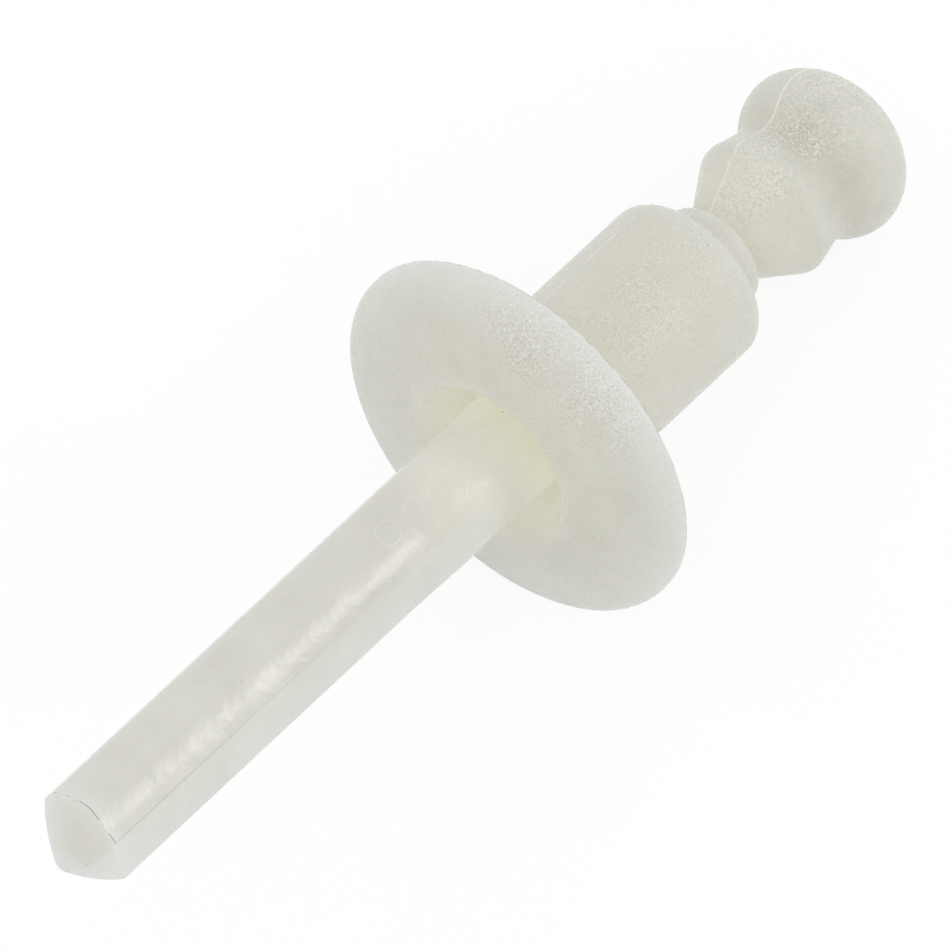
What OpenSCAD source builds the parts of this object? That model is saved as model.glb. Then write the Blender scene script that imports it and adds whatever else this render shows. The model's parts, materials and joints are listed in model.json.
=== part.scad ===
// Nylon blind rivet, as it lies on a table before it is set.
// Two mouldings: a body with a wide flange and a hollow shank, and a mandrel that passes through it.
// Millimetres, +Z up. The rivet rests on the rim of its flange and on its ball, with the end of the
// stem in the air. X runs along the rivet towards the ball, and the origin is at the middle of its
// footprint, on the table.

/* [Flange] */
// Outside diameter of the flange
flange_d = 11.25; // [9.5:0.05:16]
// Height of the flange's upright edge above its underside
flange_edge = 0.15; // [0.1:0.05:0.5]
// Rounding between the upright edge and the domed face
flange_edge_round = 0.5; // [0.1:0.05:0.6]
// Slope of the domed face, in degrees
dome_slope = 17; // [12:1:20]
// Diameter of the mouth of the funnel round the stem
funnel_d = 5.04; // [4.4:0.02:6]
// Depth of the funnel, from its mouth to the bore
funnel_depth = 1.3; // [0.6:0.05:1.5]
// Rounding of the mouth of the funnel
funnel_round = 0.12; // [0.05:0.01:0.2]

/* [Shank] */
// Outside diameter of the shank, the size that the rivet is sold by
shank_d = 5; // [4.6:0.1:6]
// Length of the shank from the underside of the flange
shank_l = 7.3; // [5:0.05:14]
// Rounding of the blind end of the shank
shank_end_round = 0.4; // [0.1:0.05:0.6]
// Fillet between the shank and the flange
shank_root_round = 0.15; // [0.05:0.05:0.4]

/* [Stem] */
// Diameter of the stem across its round sides
stem_d = 3.22; // [3.1:0.02:3.5]
// Length of the stem from the underside of the flange to its cut end
stem_l = 18.55; // [12:0.05:30]
// Gap between the stem and the bore of the body, on each side
bore_clearance = 0.05; // [0.03:0.01:0.15]
// Distance from the stem's axis to the middle of each of its two wide faces
wide_face = 1.19; // [1.1:0.01:1.3]
// Radius of the crown across each wide face
wide_crown = 6; // [5:0.5:20]
// Distance from the stem's axis to the crest of the keel between the wide faces
keel_reach = 1.76; // [1.64:0.01:1.82]
// Distance from the stem's axis to the narrow flat on its back
back_flat = 1.41; // [1.34:0.01:1.5]
// Distance from the stem's axis to the narrow flat beside it
shoulder_flat = 1.37; // [1.3:0.01:1.5]
// Distance from the stem's axis to the shallow flat on its side
side_flat = 1.51; // [1.4:0.01:1.54]
// Distance from the flange's underside at which the keel and the narrow flats have run out
run_out_end = 2.7; // [2:0.1:5]
// Depth inside the body at which the stem is made to break
break_depth = 1.1; // [0.5:0.1:2]
// Diameter that is left at the break
break_d = 2.3; // [1.6:0.1:2.6]

/* [Head] */
// Diameter of the neck that fills the shank and shows as a collar at its blind end
collar_d = 3.08; // [2.7:0.02:3.1]
// How far the collar reaches out of the shank
collar_l = 1.12; // [0.8:0.02:2]
// Diameter at the bottom of the groove behind the collar
groove_d = 2.2; // [1.9:0.05:2.55]
// Width of the groove behind the collar
groove_w = 0.18; // [0.1:0.02:0.5]
// Largest diameter of the cone, before its shoulder is rounded
cone_d = 4.32; // [3.8:0.02:4.8]
// Length of the cone
cone_l = 1.8; // [1.2:0.02:2.4]
// Rounding of the cone's shoulder
cone_round = 0.32; // [0.1:0.02:0.5]
// Diameter of the waist between the cone and the ball
waist_d = 3.74; // [3.2:0.02:3.9]
// Rounding of the waist
waist_round = 0.88; // [0.3:0.02:0.9]
// Diameter of the ball
ball_d = 5.08; // [4.6:0.02:5.6]
// Length of the ball along the rivet
ball_l = 3.54; // [3:0.02:4.2]
// How far the end of the ball reaches out of the shank
head_l = 7.44; // [7.2:0.02:8.5]

/* [Hidden] */
$fn = 96;

nylon = [0.84, 0.83, 0.77];
// Steps of the drawn arcs, in degrees
arc_step = 9;

flange_r = flange_d / 2;
funnel_r = funnel_d / 2;
shank_r = shank_d / 2;
stem_r = stem_d / 2;
bore_r = stem_r + bore_clearance;
break_r = break_d / 2;
collar_r = collar_d / 2;
groove_r = groove_d / 2;
cone_r = cone_d / 2;
waist_r = waist_d / 2;
ball_r = ball_d / 2;
ball_h = ball_l / 2;

// Directions around the axis, in degrees: what faces down at rest, then the stem's faces and flats
down = 165;
wide_directions = [119, 234];
keel_direction = (wide_directions[0] + wide_directions[1]) / 2;
back_direction = 17.5;
shoulder_direction = 45.5;
side_direction = 274;
// Slope of the keel and of the narrow flats where they run out into the round stem, in degrees
run_out_slope = 4;

// Heights along the rivet's own axis, with 0 at the underside of the flange
shoulder_z = -flange_edge - flange_edge_round * tan(45 - dome_slope / 2);
mouth_z = shoulder_z - (flange_r - funnel_r) * tan(dome_slope);
funnel_end_z = mouth_z + funnel_depth;
collar_end_z = shank_l + collar_l;
cone_start_z = collar_end_z + groove_w;
cone_end_z = cone_start_z + cone_l;
ball_z = shank_l + head_l - ball_h;
// The ball's surface leaves the waist at this angle below the ball's middle.
ball_start = -30;

// The lying rivet touches the table with the sharp rim of its flange and with its ball. The slope
// of its axis is the root of a quadratic: the rim and the ball's outline touch one plane.
slope_a = ball_z * ball_z - ball_h * ball_h;
slope_b = flange_r * ball_z;
slope_c = flange_r * flange_r - ball_r * ball_r;
lean = atan((slope_b - sqrt(slope_b * slope_b - slope_a * slope_c)) / slope_a);
rest_h = flange_r * cos(lean);
// How far the lying rivet reaches along X from the flange's centre
stem_reach = stem_l * cos(lean) + keel_reach * sin(lean);
ball_reach = ball_z * cos(lean) + norm([ball_h * cos(lean), ball_r * sin(lean)]);

function unit(v) = v / norm(v);

// Points of an arc about a centre, from one angle through a turn
function arc(centre, r, from, turn) =
    let (steps = ceil(abs(turn) / arc_step))
    [
        for (i = [0:steps])
            let (t = from + turn * i / steps)
            centre + r * [cos(t), sin(t)]
    ];

// The corner at b of an outline that comes from a and goes on to c, rounded to radius r
function round_corner(a, b, c, r) =
    let (
        back = unit(a - b),
        on = unit(c - b),
        half = acos(back * on) / 2,
        centre = b + unit(back + on) * r / sin(half),
        start = b + back * r / tan(half) - centre,
        end = b + on * r / tan(half) - centre,
        turn = atan2(start.x * end.y - start.y * end.x, start * end)
    )
    arc(centre, r, atan2(start.y, start.x), turn);

// A closed outline through corners [x, y, r], each rounded to its own radius r
function rounded_outline(corners) =
    let (n = len(corners), flat = [for (c = corners) [c.x, c.y]])
    [
        for (i = [0:n - 1])
            each corners[i][2] > 0
                ? round_corner(flat[(i + n - 1) % n], flat[i], flat[(i + 1) % n], corners[i][2])
                : [flat[i]]
    ];

// Lays a solid that is drawn upright, with its axis on Z, down on the table.
module at_rest() {
    translate([(stem_reach - ball_reach) / 2, 0, rest_h])
        rotate([0, 90 + lean, 0])
            rotate([0, 0, -down])
                children();
}

// The moulded body: flange, funnel and hollow shank, in one turn about the axis.
module rivet_body() {
    color(nylon)
        at_rest()
            rotate_extrude()
                polygon(rounded_outline([
                    [bore_r, funnel_end_z, 0],
                    [funnel_r, mouth_z, funnel_round],
                    [flange_r, shoulder_z, flange_edge_round],
                    [flange_r, 0, 0],
                    [shank_r, 0, shank_root_round],
                    [shank_r, shank_l, shank_end_round],
                    [bore_r, shank_l, 0]
                ]));
}

// Everything beyond one wide face of the stem. The face is crowned, so it's part of a large cylinder.
module beyond_wide_face(direction) {
    far = 2 * stem_r;
    rotate([0, 0, direction])
        translate([0, 0, -stem_l - 2])
            linear_extrude(stem_l + break_depth + 3)
                difference() {
                    translate([0, -far])
                        square([far, 2 * far]);
                    translate([wide_face - wide_crown, 0])
                        rotate(180)
                            circle(wide_crown);
                }
}

// Everything beyond one flat of the stem. From height rise_z the flat slopes out of the stem.
module beyond_flat(direction, distance, rise_z) {
    far = 2 * stem_r;
    rotate([0, 0, direction])
        rotate([90, 0, 0])
            linear_extrude(2 * far, center = true)
                polygon([
                    [distance, -stem_l - 2],
                    [far, -stem_l - 2],
                    [far, rise_z + (far - distance) / tan(run_out_slope)],
                    [distance, rise_z]
                ]);
}

// Height at which a flat must start to slope, to run out into the round stem before the flange
function run_out_from(distance) = -run_out_end - (stem_r - distance) / tan(run_out_slope);

// The keel that stands out of the round stem between the wide faces. Before the flange it slopes
// down into the round stem. The wide faces trim its sides, and the stem's end cut trims its end.
module keel() {
    slope_l = 1 / tan(run_out_slope);
    inner = 0.9 * stem_r;
    inner_z = -run_out_end + (stem_r - inner) * slope_l;
    rotate([0, 0, keel_direction])
        intersection() {
            translate([0, 0, -stem_l - 1])
                rotate([0, 0, 180])
                    cylinder(r = keel_reach, h = stem_l + 2);
            rotate([90, 0, 0])
                linear_extrude(2 * stem_r, center = true)
                    polygon([
                        [0, -stem_l - slope_l],
                        [stem_r + 1, -stem_l - slope_l],
                        [stem_r + 1, -run_out_end - slope_l],
                        [inner, inner_z],
                        [0, inner_z]
                    ]);
        }
}

// The stem that the setting tool grips, as far as the break inside the body. Its wide faces and its
// side flat run the whole length. Its keel and its two narrow flats run out before the flange.
module stem() {
    difference() {
        union() {
            translate([0, 0, -stem_l - 1])
                cylinder(r = stem_r, h = stem_l + 1 + break_depth);
            keel();
        }
        for (direction = wide_directions)
            beyond_wide_face(direction);
        beyond_flat(side_direction, side_flat, break_depth + 1);
        beyond_flat(back_direction, back_flat, run_out_from(back_flat));
        beyond_flat(shoulder_direction, shoulder_flat, run_out_from(shoulder_flat));
        translate([0, 0, -stem_l - 2])
            cylinder(r = 2 * stem_r, h = 2);
    }
}

// Half section from the break to the end of the ball: neck, collar, groove, cone, waist and ball
function head_outline() =
    let (
        start = [ball_r * cos(ball_start), ball_z + ball_h * sin(ball_start)],
        flank = unit([-ball_r * sin(ball_start), ball_h * cos(ball_start)]),
        waist = start - flank * (start.x - waist_r) / flank.x,
        steps = ceil((90 - ball_start) / arc_step)
    )
    concat(
        rounded_outline([
            [0, break_depth, 0],
            [break_r, break_depth, 0],
            [collar_r, break_depth + collar_r - break_r, 0],
            [collar_r, collar_end_z - (collar_r - groove_r) / 3, 0],
            [groove_r, collar_end_z, 0],
            [groove_r, cone_start_z, 0],
            [cone_r, cone_end_z, cone_round],
            [waist.x, waist.y, waist_round],
            [start.x, start.y, 0]
        ]),
        [
            for (i = [1:steps])
                let (t = ball_start + (90 - ball_start) * i / steps)
                [ball_r * cos(t), ball_z + ball_h * sin(t)]
        ]
    );

// The mandrel: stem, neck, collar, cone and ball, moulded as one.
module mandrel() {
    color(nylon)
        at_rest()
            union() {
                stem();
                rotate_extrude()
                    polygon(head_outline());
            }
}

rivet_body();
mandrel();
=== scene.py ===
# %% [markdown]
# # A nylon blind rivet
#
# The object is a plastic blind rivet before it is set: two mouldings in natural nylon. A body, with
# a wide flange and a hollow shank, and a mandrel that runs through it, with a long stem on one side
# and a cone and a ball on the other. Natural nylon is milky: light goes in, scatters a millimetre
# or two and comes out again, so the shadows are pale and the thick places look a little yellow.
#
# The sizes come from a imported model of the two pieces. It is loaded first and stays as it is.

import json
from math import acos, atan, ceil, cos, hypot, pi, radians, sin, sqrt, tan

import bpy
from mathutils import Matrix, Vector

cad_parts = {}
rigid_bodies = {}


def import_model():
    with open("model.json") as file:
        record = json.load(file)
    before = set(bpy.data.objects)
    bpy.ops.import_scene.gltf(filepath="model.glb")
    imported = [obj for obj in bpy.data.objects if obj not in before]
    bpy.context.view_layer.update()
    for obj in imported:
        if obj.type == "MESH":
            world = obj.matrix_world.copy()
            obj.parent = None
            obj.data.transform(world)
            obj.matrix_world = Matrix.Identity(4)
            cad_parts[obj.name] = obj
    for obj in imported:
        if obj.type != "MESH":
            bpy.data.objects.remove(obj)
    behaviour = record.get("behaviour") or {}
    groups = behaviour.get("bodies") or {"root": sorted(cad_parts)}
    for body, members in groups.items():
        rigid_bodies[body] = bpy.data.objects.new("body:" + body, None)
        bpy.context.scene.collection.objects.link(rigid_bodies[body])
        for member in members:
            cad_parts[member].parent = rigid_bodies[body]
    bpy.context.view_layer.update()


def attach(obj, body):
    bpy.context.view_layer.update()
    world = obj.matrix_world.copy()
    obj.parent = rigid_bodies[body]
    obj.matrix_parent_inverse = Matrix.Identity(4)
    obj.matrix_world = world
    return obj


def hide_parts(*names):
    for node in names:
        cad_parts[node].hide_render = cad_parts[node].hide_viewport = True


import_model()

# %% [markdown]
# ## Units, colours and a short way to add a node
#
# The scene is in metres and this object is 33 mm long, so sizes are written in millimetres and
# turned into metres where they are used. Colours are written as they look on a screen, and one
# function turns them into the linear values that the shaders take.

# %% Units, colours and nodes
MM = 0.001


def linear(hex_colour):
    """An sRGB colour, such as D2D0C6, as linear red, green, blue and alpha."""
    parts = [int(hex_colour[i:i + 2], 16) / 255 for i in (0, 2, 4)]
    return [c / 12.92 if c <= 0.04045 else ((c + 0.055) / 1.055) ** 2.4 for c in parts] + [1.0]


def add(tree, kind, settings=None, **inputs):
    """Adds a node. An input's value is a number, a colour, or another node's socket to link from.
    An input is named by its label, with _ for a space, or by its place, as in_0."""
    node = tree.nodes.new(kind)
    for key, value in (settings or {}).items():
        setattr(node, key, value)
    for key, value in inputs.items():
        label = int(key[3:]) if key.startswith("in_") else key.replace("_", " ")
        socket = node.inputs[label]
        if isinstance(value, bpy.types.NodeSocket):
            tree.links.new(value, socket)
        else:
            socket.default_value = value
    return node


# %% [markdown]
# Most nodes here do arithmetic, so that gets short names too. They serve the trees that shape the
# mouldings and the trees that colour them.

# %% Arithmetic in a tree
def maths(tree, operation, *values):
    """One step of arithmetic in a tree, as the socket that holds its result."""
    inputs = {f"in_{i}": value for i, value in enumerate(values)}
    return add(tree, "ShaderNodeMath", {"operation": operation}, **inputs).outputs[0]


def times(tree, first, *others):
    """The product of two or more values."""
    for other in others:
        first = maths(tree, "MULTIPLY", first, other)
    return first


def opposite(tree, value):
    """One less the value, which turns a yes into a no."""
    return maths(tree, "SUBTRACT", 1.0, value)


def reach_of(tree, one, other):
    """The long side of a right triangle: a point's distance from its distances along and aside."""
    squares = maths(tree, "ADD", maths(tree, "POWER", one, 2), maths(tree, "POWER", other, 2))
    return maths(tree, "SQRT", squares)


def apart(tree, vector):
    """The X, Y and Z of a vector."""
    return add(tree, "ShaderNodeSeparateXYZ", in_0=vector).outputs


# %% [markdown]
# ## How the rivet lies
#
# Both pieces are easiest to draw upright, turned about their own axis, with 0 at the underside of
# the flange and the ball above it. A real rivet can't stand like that: it lies on the rim of its
# flange and on its ball. The slope could be found by letting it fall in a simulation, but it also
# follows from the sizes, so it's computed. One matrix then lays a drawn piece down, and the camera
# uses it too.

# %% The rivet at rest
FLANGE_R = 5.625
BALL_R, BALL_H, BALL_Z = 2.54, 1.77, 12.97  # half its width, half its length, and its centre's height
STEM_R, STEM_L, KEEL_REACH = 1.61, 18.55, 1.76
DOWN = radians(165)  # the side of the drawn piece that faces the table

# The table touches the rim and the ball's outline. Its slope s, seen from the upright rivet, then
# solves a * s * s - 2 * b * s + c = 0.
a = BALL_Z ** 2 - BALL_H ** 2
b = FLANGE_R * BALL_Z
c = FLANGE_R ** 2 - BALL_R ** 2
lean = atan((b - sqrt(b * b - a * c)) / a)
stem_reach = STEM_L * cos(lean) + KEEL_REACH * sin(lean)
ball_reach = BALL_Z * cos(lean) + hypot(BALL_H * cos(lean), BALL_R * sin(lean))
CENTRE = Vector(((stem_reach - ball_reach) / 2, 0, FLANGE_R * cos(lean))) * MM
TURN = Matrix.Rotation(pi / 2 + lean, 4, "Y") @ Matrix.Rotation(-DOWN, 4, "Z")
AT_REST = Matrix.Translation(CENTRE) @ TURN
print("the axis slopes by", round(lean * 180 / pi, 2), "degrees; flange centre at", CENTRE[:])

# %% [markdown]
# ## Camera
#
# The photograph was taken from far away with a long lens, so there is almost no perspective. The
# view is set by the rivet itself, in three sizes that can be measured in the picture: the angle
# between its axis and the line of sight, the angle of the axis in the picture, and where the
# centre of the flange falls in a picture 948 pixels wide.

# %% Camera
PICTURE = 948      # pixels
SCALE = 37.52      # pixels to a millimetre
DISTANCE = 590     # millimetres
SENSOR = 36        # millimetres
VIEW_ANGLE = radians(58.5)
PICTURE_ANGLE = radians(42.92)
FLANGE_PIXEL = (522.0, 432.6)
CLIP = (0.05, 5)   # metres

along, facing, across = (TURN.to_3x3() @ Vector(axis) for axis in [(0, 0, 1), (1, 0, 0), (0, 1, 0)])
shown_axis = along * sin(VIEW_ANGLE) + facing * cos(VIEW_ANGLE)
right = shown_axis * cos(PICTURE_ANGLE) + across * sin(PICTURE_ANGLE)
down = across * cos(PICTURE_ANGLE) - shown_axis * sin(PICTURE_ANGLE)
forward = along * cos(VIEW_ANGLE) - facing * sin(VIEW_ANGLE)
place = CENTRE - (
    right * (FLANGE_PIXEL[0] - PICTURE / 2) / SCALE
    + down * (FLANGE_PIXEL[1] - PICTURE / 2) / SCALE
    + forward * DISTANCE
) * MM

camera_data = bpy.data.cameras.new("camera")
camera_data.sensor_width = SENSOR
camera_data.lens = SENSOR * SCALE * DISTANCE / PICTURE
camera_data.clip_start, camera_data.clip_end = CLIP
camera = bpy.data.objects.new("camera", camera_data)
turn = Matrix((right, -down, -forward)).transposed().to_4x4()
camera.matrix_world = Matrix.Translation(place) @ turn
bpy.context.scene.collection.objects.link(camera)
bpy.context.scene.camera = camera
print("lens", round(camera_data.lens, 1), "mm, camera at", [round(v, 3) for v in place])

# %% [markdown]
# ## Half sections
#
# A turned form is fully described by its half section: a line of points, each a radius and a
# height. A real moulding has no dead sharp corner, so each corner gets a small round. A bevel on the
# finished mesh could do that, but here each round is drawn at its own size, as on a drawing.

# %% Rounding the corners of a half section
ARC_STEP = radians(6)


def rounded(corners):
    """The points of a line through corners (radius, height, round), with each corner rounded."""
    flat = [Vector(corner[:2]) for corner in corners]
    points = [flat[0]]
    for i in range(1, len(corners) - 1):
        back = (flat[i - 1] - flat[i]).normalized()
        on = (flat[i + 1] - flat[i]).normalized()
        size = corners[i][2]
        if size == 0:
            points.append(flat[i])
            continue
        half = acos(max(-1.0, min(1.0, back.dot(on)))) / 2
        centre = flat[i] + (back + on).normalized() * size / sin(half)
        start = flat[i] + back * size / tan(half) - centre
        end = flat[i] + on * size / tan(half) - centre
        bend = pi - 2 * half
        if start.x * end.y - start.y * end.x < 0:
            bend = -bend
        steps = max(3, ceil(abs(bend) / ARC_STEP))
        points += [centre + Matrix.Rotation(bend * k / steps, 2) @ start for k in range(steps + 1)]
    return points + [flat[-1]]


# %% [markdown]
# Long straight stretches get a point close to each end, which keeps the smooth shading flat
# between them. More points follow at even steps, so that the stem can be cut along its length.

# %% Points along the straight stretches
HOLD = 0.03
LONGEST = 0.35


def with_holds(points):
    """Adds a point near each end of a long stretch, and more between them."""
    line = [points[0]]
    for point in points[1:]:
        step = point - line[-1]
        start, length = line[-1], step.length
        if length > 4 * HOLD:
            inner = length - 2 * HOLD
            count = max(1, ceil(inner / LONGEST))
            line += [start + step * (HOLD + inner * k / count) / length for k in range(count + 1)]
        line.append(point)
    return line


# %% [markdown]
# ## Turning a half section into a moulding
#
# A node tree does what a lathe does, and what the mould does too. It takes the half section, lays
# out a grid with one column for each step of the turn, and sends each point of the grid to its
# radius and height. A screw modifier would turn it as well, but all its columns are equally wide,
# and the next step needs narrow ones. The first cell holds what every tree starts and ends with.

# %% The start and the end of a tree
FLOAT = "NodeSocketFloat"


def new_tree(name, sizes):
    """A geometry tree with named inputs. Returns the tree and the sockets of its inputs."""
    tree = bpy.data.node_groups.new(name, "GeometryNodeTree")
    tree.interface.new_socket("Geometry", in_out="INPUT", socket_type="NodeSocketGeometry")
    for label, kind in sizes:
        tree.interface.new_socket(label, in_out="INPUT", socket_type=kind)
    tree.interface.new_socket("Material", in_out="INPUT", socket_type="NodeSocketMaterial")
    tree.interface.new_socket("Geometry", in_out="OUTPUT", socket_type="NodeSocketGeometry")
    return tree, add(tree, "NodeGroupInput").outputs


def end_tree(tree, given, geometry):
    """Ends a tree with a plain mesh that carries its material."""
    smooth = add(tree, "GeometryNodeSetShadeSmooth", Geometry=geometry)
    plain = add(tree, "GeometryNodeRealizeInstances", Geometry=smooth.outputs[0])
    coated = add(tree, "GeometryNodeSetMaterial", Geometry=plain.outputs[0], Material=given["Material"])
    add(tree, "NodeGroupOutput", in_0=coated.outputs[0])


def position(tree):
    """Where a point is."""
    return add(tree, "GeometryNodeInputPosition").outputs[0]


# %% [markdown]
# The grid is one unit wide and high. A point's place in it says which step of the turn and which
# point of the half section it belongs to, and the tree reads that point's radius and height.

# %% The lathe: a grid with a row for each point of the half section
lathe, given = new_tree("turn a half section", [
    ("Steps", "NodeSocketInt"),
    ("Parting angle", FLOAT),
    ("Ridge height", FLOAT),
    ("Ridge width", FLOAT),
    ("Ridge from", FLOAT),
    ("Crowding", FLOAT),
])
count = add(lathe, "GeometryNodeAttributeDomainSize", Geometry=given["Geometry"]).outputs["Point Count"]
grid = add(
    lathe, "GeometryNodeMeshGrid", Size_X=1.0, Size_Y=1.0,
    Vertices_X=maths(lathe, "ADD", given["Steps"], 1), Vertices_Y=count,
)
spot = apart(lathe, position(lathe))
last_row = maths(lathe, "SUBTRACT", count, 1)
row = maths(lathe, "ROUND", times(lathe, maths(lathe, "ADD", spot["Y"], 0.5), last_row))
section = add(
    lathe, "GeometryNodeSampleIndex", {"data_type": "FLOAT_VECTOR", "domain": "POINT"},
    Geometry=given["Geometry"], Value=position(lathe), Index=row,
)
outline = apart(lathe, section.outputs[0])
radius, share, height = outline["X"], outline["Y"], outline["Z"]
print("the lathe tree starts with", len(lathe.nodes), "nodes")

# %% [markdown]
# The mould opens in two halves, and where they meet a fine ridge is left along the moulding, on
# opposite sides at once. It could be a bump in the material, but it shows on the outline, so the tree
# raises it in the mesh. It crowds the columns there, which keeps the ridge smooth, and it leaves the
# pole of the ball alone, where the columns meet.

# %% The lathe: the turn, the mould's ridge and the closed mesh
POLE_R = 2.2e-4    # metres
WELD = 1e-6        # metres

even = times(lathe, spot["X"], 2 * pi)
doubled = times(lathe, maths(lathe, "SUBTRACT", even, given["Parting angle"]), 2)
angle = maths(lathe, "SUBTRACT", even, times(lathe, maths(lathe, "SINE", doubled), given["Crowding"]))

past_parting = maths(lathe, "SUBTRACT", angle, given["Parting angle"])
from_parting = times(lathe, radius, maths(lathe, "SINE", past_parting))
steep = maths(lathe, "POWER", maths(lathe, "DIVIDE", from_parting, given["Ridge width"]), 2)
ridge = times(lathe, maths(lathe, "EXPONENT", times(lathe, steep, -1)), given["Ridge height"])
beyond = maths(lathe, "GREATER_THAN", height, given["Ridge from"])
off_pole = maths(lathe, "GREATER_THAN", radius, POLE_R)
reach = maths(lathe, "ADD", radius, times(lathe, ridge, times(lathe, beyond, off_pole)))

moved = add(
    lathe, "ShaderNodeCombineXYZ",
    X=times(lathe, reach, maths(lathe, "COSINE", angle)),
    Y=times(lathe, reach, maths(lathe, "SINE", angle)),
    Z=height,
)
turned = add(lathe, "GeometryNodeSetPosition", Geometry=grid.outputs["Mesh"], Position=moved.outputs[0])
turned = add(
    lathe, "GeometryNodeStoreNamedAttribute", {"data_type": "FLOAT", "domain": "POINT"},
    Geometry=turned.outputs[0], Name="share", Value=share,
)
closed = add(lathe, "GeometryNodeMergeByDistance", Geometry=turned.outputs[0], Distance=WELD)
end_tree(lathe, given, closed.outputs[0])
print("the lathe tree has", len(lathe.nodes), "nodes")

# %% [markdown]
# ## Cutting the faces of the stem
#
# The stem isn't round: the mould gives it crowned faces, flats and a keel, so that the jaws of the
# pulling tool have something to grip. A boolean cut would leave long slivers where a shallow face
# runs out of a round. The second tree cuts a face without changing how the mesh is joined up: it
# pulls in every point that lies beyond the face, straight towards the axis. From a given height the
# face rises out of the stem. A flat is a face with a very large crown. Softness rounds the edge of
# the face a little, as the mould does.
#
# The first cell finds how far out the face lets each point lie, the second one moves the points.

# %% The cutter: where the face lies
SMALLEST = 1e-7    # metres, so that nothing is divided by zero on the axis

cutter, given = new_tree("cut a face", [
    ("Direction", FLOAT),
    ("Distance", FLOAT),
    ("Crown", FLOAT),
    ("Rises from", FLOAT),
    ("Rise", FLOAT),
    ("Ends at", FLOAT),
    ("Softness", FLOAT),
])
spot = apart(cutter, position(cutter))
round_axis = maths(cutter, "ARCTAN2", spot["Y"], spot["X"])
off = maths(cutter, "SUBTRACT", round_axis, given["Direction"])
climb = maths(cutter, "MAXIMUM", maths(cutter, "SUBTRACT", spot["Z"], given["Rises from"]), 0)
distance = maths(cutter, "ADD", given["Distance"], times(cutter, climb, given["Rise"]))

# The crown is a circle. Its middle lies back from the axis, away from the face.
back = maths(cutter, "SUBTRACT", given["Crown"], distance)
aside = times(cutter, back, maths(cutter, "SINE", off))
crown_square = maths(cutter, "POWER", given["Crown"], 2)
chord = maths(cutter, "SUBTRACT", crown_square, maths(cutter, "POWER", aside, 2))
half_chord = maths(cutter, "SQRT", maths(cutter, "MAXIMUM", chord, 0))
limit = maths(cutter, "SUBTRACT", half_chord, times(cutter, back, maths(cutter, "COSINE", off)))
print("the face tree starts with", len(cutter.nodes), "nodes")

# %% [markdown]
# On the stem's flat end the points keep their share of the way out to the rim, so that they don't
# bunch up at the face.

# %% The cutter: pulling the points in
share = add(cutter, "GeometryNodeInputNamedAttribute", {"data_type": "FLOAT"}, Name="share").outputs[0]
from_axis = maths(cutter, "MAXIMUM", reach_of(cutter, spot["X"], spot["Y"]), SMALLEST)
limit = maths(cutter, "DIVIDE", times(cutter, limit, share), from_axis)
this_side = maths(cutter, "GREATER_THAN", maths(cutter, "COSINE", off), 0)
on_stem = maths(cutter, "LESS_THAN", spot["Z"], given["Ends at"])
past = maths(cutter, "SMOOTH_MAX", maths(cutter, "SUBTRACT", 1, limit), 0, given["Softness"])
keep = maths(cutter, "SUBTRACT", 1, times(cutter, this_side, on_stem, past))
moved = add(
    cutter, "ShaderNodeCombineXYZ",
    X=times(cutter, spot["X"], keep), Y=times(cutter, spot["Y"], keep), Z=spot["Z"],
)
cut = add(cutter, "GeometryNodeSetPosition", Geometry=given["Geometry"], Position=moved.outputs[0])
end_tree(cutter, given, cut.outputs[0])
print("the face tree has", len(cutter.nodes), "nodes")

# %% [markdown]
# ## From a line to a piece
#
# The half section becomes a mesh of loose points, the trees work on it one after the other, and what
# comes out is laid down and kept as a plain mesh, so nothing has to be worked out again later.

# %% Points that the trees can read
END_ROUND = 0.03


def shares(half_section):
    """How far out each point lies on a flat end that starts at the axis, and 1 beyond that end."""
    first = half_section[0]
    if first.x > 0:
        return [1] * len(half_section)
    on_end = [p.y < first.y + END_ROUND for p in half_section]
    rim = max(p.x for p, end in zip(half_section, on_end) if end)
    return [p.x / rim if end else 1 for p, end in zip(half_section, on_end)]


def use_tree(piece, tree, values):
    """Adds a tree to a piece as a modifier and sets its inputs by their identifiers."""
    modifier = piece.modifiers.new(tree.name, "NODES")
    modifier.node_group = tree
    for socket in tree.interface.items_tree:
        if socket.in_out == "INPUT" and socket.name in values:
            modifier[socket.identifier] = values[socket.name]


# %% [markdown]
# One function makes a piece from its line. What the trees leave behind in the piece's list of
# materials is cleared, so that each piece starts with one.

# %% Making a piece with the trees
def mould(name, half_section, steps_of_trees):
    """Turns a half section (in mm) with the given trees, and lays the result down as a plain mesh.
    A point's y carries its share of the way out, which the trees read."""
    line = bpy.data.meshes.new(name + "_half_section")
    points = zip(half_section, shares(half_section))
    line.from_pydata([(p.x * MM, share, p.y * MM) for p, share in points], [], [])
    drawn = bpy.data.objects.new(name + "_half_section", line)
    bpy.context.scene.collection.objects.link(drawn)
    for tree, values in steps_of_trees:
        use_tree(drawn, tree, values)
    ready = drawn.evaluated_get(bpy.context.evaluated_depsgraph_get())
    mesh = bpy.data.meshes.new_from_object(ready)
    mesh.name = name
    mesh.transform(AT_REST)
    coats = [material for material in mesh.materials if material]
    mesh.materials.clear()
    mesh.materials.append(coats[0])
    mesh.polygons.foreach_set("material_index", [0] * len(mesh.polygons))
    bpy.data.objects.remove(drawn)
    piece = bpy.data.objects.new(name, mesh)
    bpy.context.scene.collection.objects.link(piece)
    print(name, "has", len(mesh.vertices), "vertices and", len(mesh.polygons), "faces")
    return piece


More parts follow.
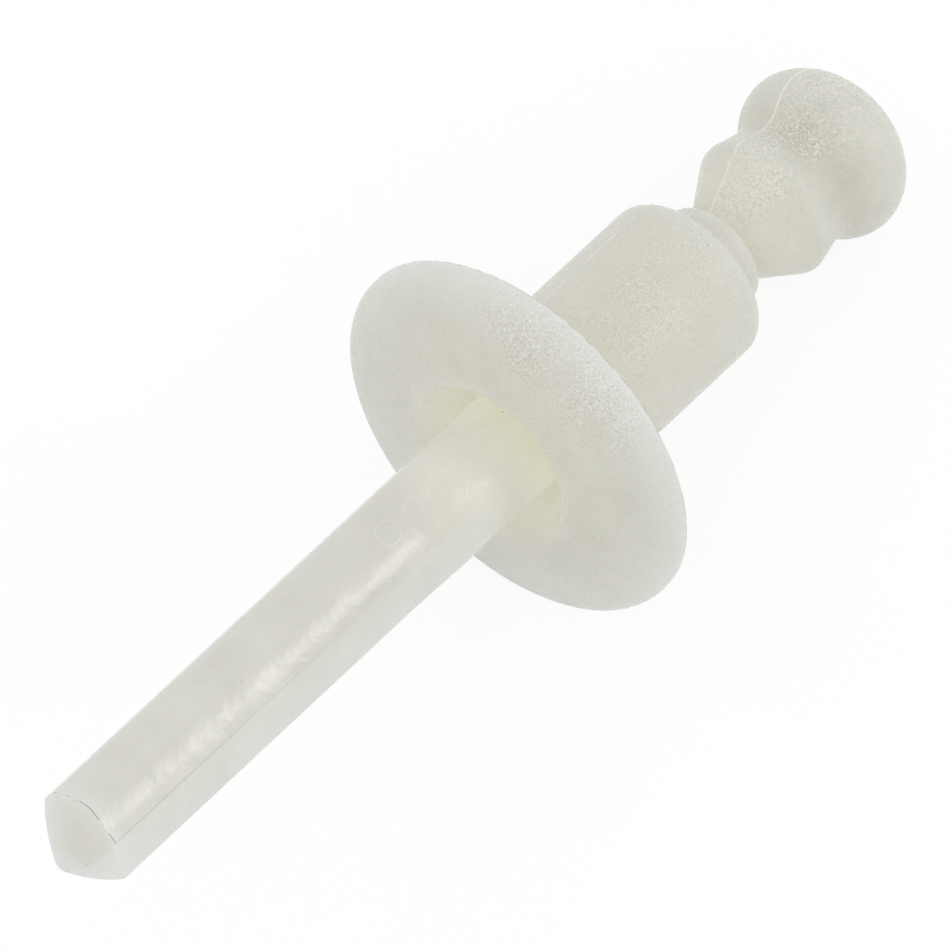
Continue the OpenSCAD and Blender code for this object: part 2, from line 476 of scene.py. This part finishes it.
# %% [markdown]
# ## The nylon
#
# Polyamide 66 without pigment is the colour of candle wax and lets light in. A volume that scatters
# light would show that by itself, but it is slow and noisy, so the light that scatters under the skin
# (subsurface) does most of the work, and the rest is drawn into the colour by where a point lies.
#
# Three finishes show, and each is a material of its own: the body, and the head of the mandrel,
# whose moulds were spark eroded, and the stem, from a smoother part of the mould. The cells below
# draw one thing each, and the last one puts the three materials together.

# %% Steps of colour
def noise(tree, spot, size, **settings):
    """Noise whose features are about size mm wide."""
    return add(tree, "ShaderNodeTexNoise", Vector=spot, Scale=1 / (size * MM), **settings).outputs[0]


def spread(tree, value, low, high, to_low, to_high):
    """Sends the values from low to high, in a straight line, to another range."""
    return add(
        tree, "ShaderNodeMapRange",
        Value=value, From_Min=low, From_Max=high, To_Min=to_low, To_Max=to_high,
    ).outputs[0]


def blend(tree, amount, colour, other):
    """Mixes an amount of another colour into a colour."""
    return add(
        tree, "ShaderNodeMix", {"data_type": "RGBA"}, in_0=amount, in_6=colour, in_7=linear(other),
    ).outputs[2]


def shaded(tree, colour, amount):
    """Makes a colour lighter or darker."""
    scaled = add(tree, "ShaderNodeVectorMath", {"operation": "SCALE"}, in_0=colour, Scale=amount)
    return scaled.outputs[0]


# %% [markdown]
# A drawing step shows only in one place, so its strength is a product of short questions, each 1 for
# yes and 0 for no: is the point above this height, is it nearer the axis than that.

# %% Steps of place
def ramp(tree, value, low, high, unit=MM):
    """0 up to low and 1 from high, with a soft rise between them."""
    return add(
        tree, "ShaderNodeMapRange", {"interpolation_type": "SMOOTHSTEP"},
        Value=value, From_Min=low * unit, From_Max=high * unit,
    ).outputs[0]


def above(tree, value, low):
    """1 above a size in mm, and 0 elsewhere."""
    return maths(tree, "GREATER_THAN", value, low * MM)


def below(tree, value, high):
    """1 below a size in mm, and 0 elsewhere."""
    return maths(tree, "LESS_THAN", value, high * MM)


# %% [markdown]
# Each drawing step needs to know where a point lies on its moulding: on which side, how high along
# the axis, and how far out from it. The pieces lie down, so the laying down is undone first.
#
# The grain is needed everywhere too. On the real moulding it is about 0.05 mm, which is near one
# pixel in the picture and would be lost, so it is drawn half as coarse again.

# %% Where a point lies
GRAIN = 0.075    # mm


def places(tree):
    """A point's place, its x, y and height on the upright piece, its distance out, and the grain."""
    spot = add(tree, "ShaderNodeTexCoord").outputs["Object"]
    upright = apart(tree, add(
        tree, "ShaderNodeMapping", {"vector_type": "TEXTURE"},
        Vector=spot, Location=CENTRE, Rotation=TURN.to_euler(),
    ).outputs[0])
    return {
        "spot": spot,
        "x": upright["X"],
        "y": upright["Y"],
        "height": upright["Z"],
        "out": reach_of(tree, upright["X"], upright["Y"]),
        "grain": noise(tree, spot, GRAIN, Detail=1.0, Roughness=0.6),
    }


# %% [markdown]
# ### Colour and thickness
#
# Thick nylon is a little yellow, and where the moulding is thick the light also goes further and
# comes back yellower, so its core is tinted yellow: partly its own colour, partly painted light.
# Where it is thin, as along the edge between two of the stem's faces, it comes back paler, and that
# side is painted lighter, a painted light. The flange lets some of its light out at the back, so it
# is painted a little darker than the nylon by itself, a painted shade.

# %% Thick nylon, and painted light and shade
NYLON, STEM_NYLON = "D9D8CF", "D9D8D1"
# the yellow of thick nylon, and the paler colour of the painted light on the stem's thin side
THICK_NYLON, PAINTED_THIN_LIGHT = "EBE9DC", "E7E7E2"
# how much darker the flange's painted shade makes it
FLANGE_PAINTED_SHADE = 0.05

# From where to where a tint changes, in mm.
CORE, FLANGE = (1.7, 3.1), (2.8, 5.0)          # out from the axis
THICK_START, THICK_END = (-2.5, 1), (-1, 1.5)  # beside the ends of the thick stretch
THIN_SIDE, THIN_END = (0.5, 0.8), (-5, -2)     # aside, and along the stem
FLANGE_BACK = 0.1


def colour_with_painted_light(tree, at, look):
    """Colour: yellower inside, painted light on the stem's thin side, painted shade on the flange."""
    low, high = look["thick"]
    core = opposite(tree, ramp(tree, at["out"], *CORE))
    starts = ramp(tree, at["height"], *[low + size for size in THICK_START])
    ends = ramp(tree, at["height"], *[high + size for size in THICK_END])
    thick = times(tree, core, times(tree, starts, opposite(tree, ends)))
    colour = blend(tree, thick, linear(look["base"]), THICK_NYLON)

    # painted light: the stem's thin side is paler, for light that shines through it
    before_flange = opposite(tree, ramp(tree, at["height"], *THIN_END))
    thin = times(tree, ramp(tree, at["y"], *THIN_SIDE), before_flange, look["thin side"])
    colour = blend(tree, thin, colour, PAINTED_THIN_LIGHT)

    # painted shade: the flange is darker, for the light that it lets out at the back
    in_flange = times(tree, ramp(tree, at["out"], *FLANGE), below(tree, at["height"], FLANGE_BACK))
    return shaded(tree, colour, opposite(tree, times(tree, in_flange, FLANGE_PAINTED_SHADE)))


# %% [markdown]
# ### Clouds and grain
#
# Nylon cools unevenly, so its milkiness has soft clouds. The grain also shows as a faint mottle.

# %% Clouds and mottle
CLOUD = 1.6                    # mm
CLOUD_SHADES = (0.96, 1.03)
MOST = (0.3, 0.7)              # most values of a noise lie between these


def clouded(tree, at, look, colour):
    """Soft clouds, and the grain as a mottle."""
    clouds = noise(tree, at["spot"], CLOUD, Detail=2.0, Roughness=0.6)
    colour = shaded(tree, colour, spread(tree, clouds, *MOST, *CLOUD_SHADES))
    mottle = look["mottle"]
    return shaded(tree, colour, spread(tree, at["grain"], *MOST, 1 - mottle, 1 + mottle))


# %% [markdown]
# ### Glitter
#
# Each grain of a spark-eroded face is a tiny mirror, and where the face turns towards a lamp some of
# them flash and their neighbours look dull. As bump, grain this fine averages out to an even sheen,
# so the flashes are drawn into the colour, on the side that faces the lamp. There is most of it near
# the flange's rim, less on the shank, and next to none on the smooth collar. The price is that the
# glitter doesn't move when the light does.

# %% Glitter
# the painted glint colour, and a dark colour for specks and for painted dull grains
PAINTED_GLINT, SPECK_AND_DULL_SHADE = "F8F8F4", "8C8676"
SHANK_FLECKS, COLLAR_LOSS = 0.55, 0.5
COLLAR_FROM, COLLAR_TO = 7.31, 8.7     # mm of height
PAST_FLANGE = 0.2                      # mm of height
RIM_FLECKS = (3.2, 4.4)                # mm from the axis
LIT = (0.75, 0.98)                     # cosine of the angle between a point's side and the lit side
PATCH = 1.2                            # mm

# From which to which value of a noise, and what they become.
PATCHES = (0.4, 0.6, 0.35, 1.0)
BRIGHT, DULL = (0.56, 0.68, 0.0, 0.75), (0.44, 0.32, 0.0, 0.3)


def glitter(tree, at, look, colour):
    """Painted glints and painted dull grains, in loose patches, on the lit side."""
    side = look["lit side"]
    toward = maths(tree, "ADD", times(tree, at["x"], cos(side)), times(tree, at["y"], sin(side)))
    lit = ramp(tree, maths(tree, "DIVIDE", toward, at["out"]), *LIT, unit=1)

    height = at["height"]
    on_collar = times(tree, above(tree, height, COLLAR_FROM), below(tree, height, COLLAR_TO))
    past_flange = maths(tree, "SUBTRACT", SHANK_FLECKS, times(tree, on_collar, COLLAR_LOSS))
    past_flange = times(tree, above(tree, height, PAST_FLANGE), past_flange)
    amount = maths(tree, "MAXIMUM", ramp(tree, at["out"], *RIM_FLECKS), past_flange)
    patches = spread(tree, noise(tree, at["spot"], PATCH, Detail=2.0), *PATCHES)
    where = times(tree, lit, amount, patches, look["glitter"])

    # painted highlights on some grains and painted shade on their neighbours
    bright = times(tree, where, spread(tree, at["grain"], *BRIGHT))
    dull = times(tree, where, spread(tree, at["grain"], *DULL))
    return blend(tree, dull, blend(tree, bright, colour, PAINTED_GLINT), SPECK_AND_DULL_SHADE)


# %% [markdown]
# ### Parting line and rim
#
# The crest of the mould's ridge catches the light in places, drawn as a painted highlight.
# A thin, dark, broken line is drawn on the flange's rim. Dashes could be placed one by one, but a
# noise that is cut off at a level breaks a line up just as unevenly.

# %% Lines on the body and the head
PAINTED_HIGHLIGHT, DARK_LINES = "FAF9F4", "5A564B"
SEAM_EDGE = (0.015, 0.07)              # mm beside the seam, where the line ends
RIM_FROM, RIM_BAND = -0.05, 0.035      # mm of height, and mm in from the rim
RIM_SIDES, RIM_FAR = (-1.5, 1.5), 0.3  # mm between the far and the near side, and strength far off
DASH, DASHES = 0.5, (0.42, 0.52, 0.15, 0.6)
BREAK, BREAKS = 0.35, (0.44, 0.54, 0.1, 0.95)


def dashes(tree, at):
    """Long soft dashes."""
    return spread(tree, noise(tree, at["spot"], DASH, Detail=1.0), *DASHES)


def breaks(tree, at):
    """Short dark dashes."""
    return spread(tree, noise(tree, at["spot"], BREAK, Detail=2.0), *BREAKS)


def seam_highlight(tree, at, look, colour):
    """A painted highlight along the crest of the mould's parting ridge, beyond the flange."""
    angle = look["parting"]
    aside = maths(tree, "SUBTRACT", times(tree, at["y"], cos(angle)), times(tree, at["x"], sin(angle)))
    # painted highlight on the ridge's crest, broken into dashes
    line = opposite(tree, ramp(tree, maths(tree, "ABSOLUTE", aside), *SEAM_EDGE))
    line = times(tree, line, dashes(tree, at), above(tree, at["height"], PAST_FLANGE))
    return blend(tree, line, colour, PAINTED_HIGHLIGHT)


def rim_line(tree, at, look, colour):
    """The dark line on the flange's rim, weaker on the side that the photograph doesn't show."""
    low_on_rim = above(tree, at["height"], RIM_FROM)
    on_rim = times(tree, low_on_rim, above(tree, at["out"], FLANGE_R - RIM_BAND))
    near = times(tree, ramp(tree, at["x"], *RIM_SIDES), 1 - RIM_FAR)
    strength = maths(tree, "ADD", near, RIM_FAR)
    return blend(tree, times(tree, on_rim, strength, breaks(tree, at)), colour, DARK_LINES)


# %% [markdown]
# ### Marks on the stem
#
# The stem's cut end is drawn with a dark, broken edge, and a fine dark line runs along the stem from
# there. It fades towards the flange. The four faint rings near the flange may be the marks of the
# mould's pins, and the light that they catch is a painted highlight. All of these are too shallow to
# change the outline, so they are colour, and the rings also a little bump.

# %% Marks on the stem
EDGE_BAND, EDGE_FROM = (0.005, 0.04), 0.2       # mm up from the end, and mm of x
EDGE_STRENGTH = 0.7
LINE_ASIDE, LINE_EDGE = 0.632, (0.006, 0.03)  # mm of y, and mm beside the line, where it ends
LINE_START, LINE_FADE = 0.02, (-17, -6)       # mm up from the end, and mm of height
LINE_STRENGTH = 0.2
RING_MARKS = [  # height, how far aside, radius
    (-1.87, -0.28, 0.48), (-3.86, -0.26, 0.5), (-4.98, -0.53, 0.24), (-6.08, -0.49, 0.34),
]
RING_SQUASH, RING_EDGE = 0.85, (0, 0.04)
RING_STRENGTH, RING_DEPTH = 0.35, 0.003


def stem_lines(tree, at, look, colour):
    """The dark edge of the stem's end and the fine dark line along the stem."""
    x, y, height = at["x"], at["y"], at["height"]
    low, high = [size - STEM_L for size in EDGE_BAND]
    on_edge = times(tree, above(tree, height, low), below(tree, height, high))
    on_edge = times(tree, on_edge, above(tree, x, EDGE_FROM), below(tree, y, LINE_ASIDE))
    on_edge = times(tree, on_edge, breaks(tree, at), EDGE_STRENGTH)

    aside = maths(tree, "ABSOLUTE", maths(tree, "SUBTRACT", y, LINE_ASIDE * MM))
    along_line = times(tree, opposite(tree, ramp(tree, aside, *LINE_EDGE)), above(tree, x, 0))
    along_line = times(tree, along_line, above(tree, height, LINE_START - STEM_L))
    along_line = times(tree, along_line, opposite(tree, ramp(tree, height, *LINE_FADE)), LINE_STRENGTH)
    return blend(tree, maths(tree, "MAXIMUM", on_edge, along_line), colour, DARK_LINES)


def rings(tree, at):
    """1 on the ring marks and 0 elsewhere."""
    every = 0.0
    for ring_height, ring_aside, ring_radius in RING_MARKS:
        up = times(tree, maths(tree, "SUBTRACT", at["height"], ring_height * MM), RING_SQUASH)
        aside = maths(tree, "SUBTRACT", at["y"], ring_aside * MM)
        off = maths(tree, "SUBTRACT", reach_of(tree, up, aside), ring_radius * MM)
        ring = opposite(tree, ramp(tree, maths(tree, "ABSOLUTE", off), *RING_EDGE))
        every = maths(tree, "MAXIMUM", every, ring)
    return times(tree, every, above(tree, at["x"], 0))


def ring_highlights(tree, at, look, colour):
    """The painted highlight on the rings, as light, broken lines."""
    # painted highlight on the ring marks
    return blend(tree, times(tree, rings(tree, at), dashes(tree, at), RING_STRENGTH), colour, PAINTED_HIGHLIGHT)


# %% [markdown]
# ### Specks
#
# Here and there a grain of burnt nylon or dust is caught under the skin. Space is divided into
# uneven cells, and a speck shows where the skin passes very near to the middle of one.

# %% Specks
SPECK_SPACING = 1.3    # mm
SPECK_SIZES = (0.012, 0.03, 0.55, 0.0)


def specks(tree, at, look, colour):
    """A few dark specks, one at the middle of some cells."""
    cells = add(
        tree, "ShaderNodeTexVoronoi", {"feature": "F1"},
        Vector=at["spot"], Scale=1 / (SPECK_SPACING * MM),
    )
    return blend(tree, spread(tree, cells.outputs["Distance"], *SPECK_SIZES), colour, SPECK_AND_DULL_SHADE)


# %% [markdown]
# ### Light inside the rivet
#
# In the real rivet light passes from one moulding into the other, so the shank isn't dark where the
# mandrel fills it. Subsurface light stays within one mesh and can't cross the gap between the two,
# so the walls of the bore and the root of the stem get a little light of their own.

# %% Light inside the rivet
GLOW, BORE_GLOW = "D4D2C5", 0.33
BORE_SIDE, BORE_FROM, BORE_TO = 1.75, 0.35, 7.25    # mm out, and mm of height
ROOT_RISE, ROOT_SIDE = (-2.4, -0.6), (2.2, 2.8)     # mm of height, and mm out


def glow(tree, at, look):
    """The strength of the light in the bore and at the stem's root."""
    height, out = at["height"], at["out"]
    in_bore = times(tree, below(tree, out, BORE_SIDE), below(tree, height, BORE_TO))
    in_bore = times(tree, in_bore, above(tree, height, BORE_FROM), BORE_GLOW)
    at_root = times(tree, ramp(tree, height, *ROOT_RISE), opposite(tree, ramp(tree, out, *ROOT_SIDE)))
    at_root = times(tree, at_root, below(tree, height, BORE_FROM), look["root glow"])
    return maths(tree, "ADD", in_bore, at_root)


# %% [markdown]
# ### Skin
#
# The grain gives the skin its soft, broken gloss. Under it lie broader lumps, because nylon shrinks
# unevenly as it cools. They make the light strip along the smooth stem waver.

# %% Skin
LUMPS = 0.9    # mm


def skin(tree, at, look):
    """The bumps of the skin, one on top of the other: grain, lumps, and ring marks if it has any."""
    lumps = noise(tree, at["spot"], LUMPS, Detail=3.0, Roughness=0.55)
    heights = [(at["grain"], look["grain"]), (lumps, look["lumps"])]
    if look["rings"]:
        heights.append((rings(tree, at), RING_DEPTH))
    under = {}
    for height, depth in heights:
        bump = add(tree, "ShaderNodeBump", Strength=1.0, Distance=depth * MM, Height=height, **under)
        under = {"Normal": bump.outputs[0]}
    return bump.outputs[0]


# %% [markdown]
# ### One nylon from all its parts
#
# One function puts a nylon together from a table that says how it looks, and from the marks that
# it has. The light that enters it reaches furthest in red and least in blue.

# %% A nylon
NYLON_IOR = 1.53
LIGHT_REACH, LIGHT_TINT = 4 * MM, (1.0, 0.97, 0.85)


def nylon(name, look, marks):
    """Natural nylon with a given look. The marks are drawn on its colour, one after the other."""
    material = bpy.data.materials.new(name)
    material.use_nodes = True
    tree = material.node_tree
    shader = tree.nodes["Principled BSDF"].inputs
    shader["IOR"].default_value = NYLON_IOR
    shader["Roughness"].default_value = look["roughness"]
    shader["Specular IOR Level"].default_value = look["gloss"]
    shader["Subsurface Weight"].default_value = 1.0
    shader["Subsurface Radius"].default_value = LIGHT_TINT
    shader["Subsurface Scale"].default_value = LIGHT_REACH
    shader["Emission Color"].default_value = linear(GLOW)

    at = places(tree)
    colour = clouded(tree, at, look, colour_with_painted_light(tree, at, look))
    for mark in marks:
        colour = mark(tree, at, look, colour)
    tree.links.new(colour, shader["Base Color"])
    tree.links.new(glow(tree, at, look), shader["Emission Strength"])
    tree.links.new(skin(tree, at, look), shader["Normal"])
    print(name, "has", len(tree.nodes), "nodes")
    return material


# %% [markdown]
# ### The three finishes
#
# Spark-eroded nylon looks satin: a wide, dim gloss, broken up by the grain, with glitter on the lit
# side. Body and head differ in which side faces the lamp, where their parting line runs, and in how
# thick they are. The smooth nylon of the stem has a clearer gloss with a light strip along it, no
# glitter, and it is greyer because it is thinner.
#
# Grain and lumps are depths in mm. Thick is the stretch of height, in mm, whose inside is yellow.

# %% The three finishes
BODY_SEAM, MANDREL_SEAM = radians(-61), radians(-53)
SPARK_ERODED = {
    "base": NYLON, "thin side": 0.0, "mottle": 0.025, "grain": 0.025, "lumps": 0.02, "rings": False,
    "gloss": 0.3, "roughness": 0.25,
}
body_nylon = nylon("spark-eroded nylon of the body", {
    **SPARK_ERODED, "thick": (-2.0, 1.0), "root glow": 0.1,
    "parting": BODY_SEAM, "glitter": 1.0, "lit side": radians(-6),
}, [glitter, seam_highlight, rim_line, specks])
head_nylon = nylon("spark-eroded nylon of the head", {
    **SPARK_ERODED, "thick": (9.5, 9.8), "root glow": 0.0,
    "parting": MANDREL_SEAM, "glitter": 1.6, "lit side": radians(-26),
}, [glitter, seam_highlight, specks])
# its thin side value is the strength of the painted light on the stem's thin side
smooth_stem = nylon("smooth natural nylon", {
    "base": STEM_NYLON, "thin side": 0.6, "mottle": 0.008, "grain": 0.001, "lumps": 0.03, "rings": True,
    "gloss": 0.5, "roughness": 0.24, "thick": (-3.5, 1.0), "root glow": 0.2,
}, [stem_lines, ring_highlights, specks])

# %% [markdown]
# ## The body
#
# One moulding: a flange that is domed on the stem's side, with a funnel at its middle round the stem,
# and a hollow shank. It could be put together from a disc and a tube, but a real moulding flows from
# one into the other, so it's one half section: a closed line, from the bore up through the funnel,
# over the flange and back along the shank.

# %% Half section of the body
SHANK_R, SHANK_L = 2.5, 7.3
BORE_R = STEM_R + 0.05
BORE_JOIN = 4.0    # the height in the bore where the line starts and ends
FUNNEL_R, FUNNEL_DEPTH = 2.52, 1.3
EDGE, EDGE_ROUND, SLOPE = 0.15, 0.5, radians(17)
CORNER = 0.05    # the round of a corner that looks sharp
MOUTH_ROUND, RIM_ROUND, ROOT_ROUND, SHANK_ROUND = 0.3, 0.04, 0.15, 0.4

shoulder = -EDGE - EDGE_ROUND * tan(pi / 4 - SLOPE / 2)
mouth = shoulder - (FLANGE_R - FUNNEL_R) * tan(SLOPE)
body_section = with_holds(rounded([
    (BORE_R, BORE_JOIN, 0),
    (BORE_R, mouth + FUNNEL_DEPTH, CORNER),
    (FUNNEL_R, mouth, MOUTH_ROUND),
    (FLANGE_R, shoulder, EDGE_ROUND),
    (FLANGE_R, 0, RIM_ROUND),
    (SHANK_R, 0, ROOT_ROUND),
    (SHANK_R, SHANK_L, SHANK_ROUND),
    (BORE_R, SHANK_L, CORNER),
    (BORE_R, BORE_JOIN, 0),
]))
print("half section of the body:", len(body_section), "points; mouth at", round(mouth, 3))

# %% [markdown]
# The lathe turns it. The mould's ridge starts beyond the flange, where the photograph first shows it.
# It is as high and as wide on the mandrel.

# %% Rivet body
RIDGE_HEIGHT, RIDGE_WIDTH = 0.01, 0.035    # mm

body = mould("moulded_body", body_section, [(lathe, {
    "Steps": 300,
    "Parting angle": BODY_SEAM,
    "Ridge height": RIDGE_HEIGHT * MM,
    "Ridge width": RIDGE_WIDTH * MM,
    "Ridge from": PAST_FLANGE * MM,
    "Crowding": 0.36,
    "Material": body_nylon,
})])

# %% [markdown]
# ## The mandrel
#
# Also one moulding. Its stem is cut off square at the free end, and as thick as the keel's reach, so
# that the faces can be cut from it. Inside the body it narrows to the neck where it breaks. Beyond
# the shank come a collar, a narrow groove, a cone with a rounded shoulder, a waist and a ball that is
# a little flattened along the axis. The line meets the ball in the direction of its own curve, so no
# crease shows there.

# %% Half section of the mandrel
COLLAR_R, COLLAR_L = 1.54, 1.12
GROOVE_R, GROOVE_W, GROOVE_ROUND = 1.1, 0.18, 0.06
CONE_R, CONE_L, CONE_ROUND = 2.16, 1.8, 0.32
WAIST_R, WAIST_ROUND = 1.87, 0.88
BREAK_Z, BREAK_R, BREAK_STEP = 1.1, 1.15, 0.01
RUN_OUT, RUN_OUT_RISE = -2.7, tan(radians(4))
BALL_START, BALL_STEPS = radians(-30), 60

collar_end = SHANK_L + COLLAR_L
cone_start = collar_end + GROOVE_W
start = Vector((BALL_R * cos(BALL_START), BALL_Z + BALL_H * sin(BALL_START)))
flank = Vector((-BALL_R * sin(BALL_START), BALL_H * cos(BALL_START))).normalized()
waist = start - flank * (start.x - WAIST_R) / flank.x
ball_angles = [BALL_START + (pi / 2 - BALL_START) * k / BALL_STEPS for k in range(1, BALL_STEPS + 1)]
ball = [Vector((BALL_R * cos(t), BALL_Z + BALL_H * sin(t))) for t in ball_angles]
mandrel_section = with_holds(rounded([
    (0, -STEM_L, 0),
    (KEEL_REACH, -STEM_L, END_ROUND),
    (KEEL_REACH, RUN_OUT - (KEEL_REACH - STEM_R) / RUN_OUT_RISE, 0),
    (STEM_R, RUN_OUT, 0),
    (STEM_R, BREAK_Z, CORNER),
    (BREAK_R, BREAK_Z + BREAK_STEP, CORNER),
    (COLLAR_R, BREAK_Z + COLLAR_R - BREAK_R, CORNER),
    (COLLAR_R, collar_end - (COLLAR_R - GROOVE_R) / 3, GROOVE_ROUND),
    (GROOVE_R, collar_end, CORNER),
    (GROOVE_R, cone_start, CORNER),
    (CONE_R, cone_start + CONE_L, CONE_ROUND),
    (waist.x, waist.y, WAIST_ROUND),
    (start.x, start.y, 0),
])) + ball
print("half section of the mandrel:", len(mandrel_section), "points")

# %% [markdown]
# Opposite the keel the stem is a plain cylinder, which is a face whose crown is the stem's own
# radius. Two wide crowned faces meet in the keel, with a shallow flat beside them. On the other side
# are two flats that rise out of the stem just before the flange.

# %% The stem's faces
WHOLE = 2 * STEM_L    # far beyond the ball, so that such a face never runs out

faces = [  # name, direction in degrees, distance, crown, where it runs out, softness of its edge
    ("round back", -3.5, STEM_R, STEM_R, BREAK_Z, 0),
    ("left wide face", 119, 1.19, 6, WHOLE, 0.015),
    ("right wide face", 234, 1.19, 6, WHOLE, 0.015),
    ("side flat", 274, 1.51, 30, WHOLE, 0.02),
    ("back flat", 17.5, 1.41, 4, RUN_OUT, 0.02),
    ("shoulder flat", 45.5, 1.37, 12, RUN_OUT, 0.03),
]
cuts = [(cutter, {
    "Direction": radians(direction),
    "Distance": distance * MM,
    "Crown": crown * MM,
    "Rises from": (ends - (STEM_R - distance) / RUN_OUT_RISE) * MM,
    "Rise": RUN_OUT_RISE,
    "Ends at": BREAK_Z * MM,
    "Softness": softness,
    "Material": smooth_stem,
}) for _, direction, distance, crown, ends, softness in faces]
print("faces of the stem:", [face[0] for face in faces])

# %% [markdown]
# The lathe turns the mandrel first, and the cutter then works on it once for each face. Only the cone
# and the ball have a ridge, because the photograph shows none on the stem.

# %% Mandrel
mandrel = mould("moulded_mandrel", mandrel_section, [(lathe, {
    "Steps": 336,
    "Parting angle": MANDREL_SEAM,
    "Ridge height": RIDGE_HEIGHT * MM,
    "Ridge width": RIDGE_WIDTH * MM,
    "Ridge from": (cone_start + CORNER) * MM,
    "Crowding": 0.3,
    "Material": smooth_stem,
})] + cuts)

# %% [markdown]
# The stem is smooth and the head has the body's grain, on one and the same moulding. The change lies
# hidden in the bore, so the faces beyond it simply take the head's nylon.

# %% Grain on the head
HEAD_FROM = 4    # mm above the flange's underside, inside the shank

mandrel.data.materials.append(head_nylon)
to_own = AT_REST.inverted()
for face in mandrel.data.polygons:
    if (to_own @ face.center).z > HEAD_FROM * MM:
        face.material_index = 1
print("materials of the mandrel:", [m.name for m in mandrel.data.materials])

# %% [markdown]
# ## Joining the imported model
#
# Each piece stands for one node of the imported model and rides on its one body.

# %% Pieces and nodes
for piece, node, slot in [(body, "rivet_body", "body_nylon"), (mandrel, "mandrel", "mandrel_nylon")]:
    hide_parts(node)
    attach(piece, "root")

# %% [markdown]
# ## Table, light and background
#
# The rivet lies on a plain white table in soft light from all round. In the photograph the
# background is pure white, with no shadow. A table without any shadow would leave the rivet
# floating, so a fifth of what the camera sees there is a lit table, which takes a faint shadow, and
# the rest is an even glow. What the camera sees of the room is set apart from its light too.

# %% What the camera sees
WHITE = (1, 1, 1, 1)


def seen(tree):
    """1 for what the camera sees, also through a mirror or a glass, and 0 for light on its way."""
    rays = add(tree, "ShaderNodeLightPath").outputs
    bent = maths(tree, "MAXIMUM", rays["Is Glossy Ray"], rays["Is Transmission Ray"])
    return maths(tree, "MAXIMUM", rays["Is Camera Ray"], bent)


def bare(tree):
    """A tree without the nodes that it starts with."""
    tree.nodes.clear()
    return tree


# %% Table
TABLE_HALF = 0.6       # metres
TABLE_COLOUR, TABLE_GLOW, GLOW_SHARE = "F2F2F2", 1.07, 0.8

table_white = bpy.data.materials.new("white table")
table_white.use_nodes = True
tree = bare(table_white.node_tree)
lit = add(tree, "ShaderNodeBsdfDiffuse", Color=linear(TABLE_COLOUR))
white = add(tree, "ShaderNodeEmission", Color=WHITE, Strength=TABLE_GLOW)
both = add(
    tree, "ShaderNodeMixShader",
    in_0=times(tree, seen(tree), GLOW_SHARE), in_1=lit.outputs[0], in_2=white.outputs[0],
)
add(tree, "ShaderNodeOutputMaterial", Surface=both.outputs[0])

table_mesh = bpy.data.meshes.new("table")
corners = [(-1, -1), (1, -1), (1, 1), (-1, 1)]
table_mesh.from_pydata([(x * TABLE_HALF, y * TABLE_HALF, 0) for x, y in corners], [], [(0, 1, 2, 3)])
table_mesh.materials.append(table_white)
table = bpy.data.objects.new("table", table_mesh)
bpy.context.scene.collection.objects.link(table)
print("the table is", 2 * TABLE_HALF, "m wide")

# %% [markdown]
# Soft light from all round gives the pale, even look. Its strength is less than what the camera
# sees as background, because the nylon in the photograph is clearly darker than the white behind it.

# %% Room
ROOM_LIGHT, BACKDROP = 0.785, 1.0

world = bpy.data.worlds.new("white room")
bpy.context.scene.world = world
world.use_nodes = True
tree = bare(world.node_tree)
room = add(tree, "ShaderNodeBackground", Color=WHITE, Strength=ROOM_LIGHT)
backdrop = add(tree, "ShaderNodeBackground", Color=WHITE, Strength=BACKDROP)
both = add(
    tree, "ShaderNodeMixShader", in_0=seen(tree), in_1=room.outputs[0], in_2=backdrop.outputs[0],
)
add(tree, "ShaderNodeOutputWorld", Surface=both.outputs[0])
print("the room shines with", ROOM_LIGHT, "and the backdrop with", BACKDROP)

# %% [markdown]
# Three small lamps add direction. The key lamp gives the flange and the ball their sheen and puts
# the light strip on the stem. The front lamp lifts the stem's cut end, and the side lamp lifts the
# side that is turned away from the key lamp.

# %% Lamps
LAMP_AWAY = 300    # mm


def lamp(name, direction, width, power):
    """A round area lamp, width mm across, that faces the flange's centre from a direction."""
    data = bpy.data.lights.new(name, "AREA")
    data.shape = "DISK"
    data.size = width * MM
    data.energy = power
    thing = bpy.data.objects.new(name, data)
    toward = Vector(direction).normalized()
    aim = toward.to_track_quat("Z", "Y").to_matrix().to_4x4()
    thing.matrix_world = Matrix.Translation(CENTRE + toward * LAMP_AWAY * MM) @ aim
    bpy.context.scene.collection.objects.link(thing)
    print(name, "shines from", [round(v, 2) for v in toward])


lamp("key lamp", along * 0.52 + facing * 0.75 + across * 0.4, 40, 0.05)
lamp("front lamp", along * -0.97 - facing * 0.05, 20, 0.008)
lamp("side lamp", facing * 0.47 - along * 0.39 - across * 0.79, 20, 0.012)
bpy.context.scene.view_settings.view_transform = "Standard"
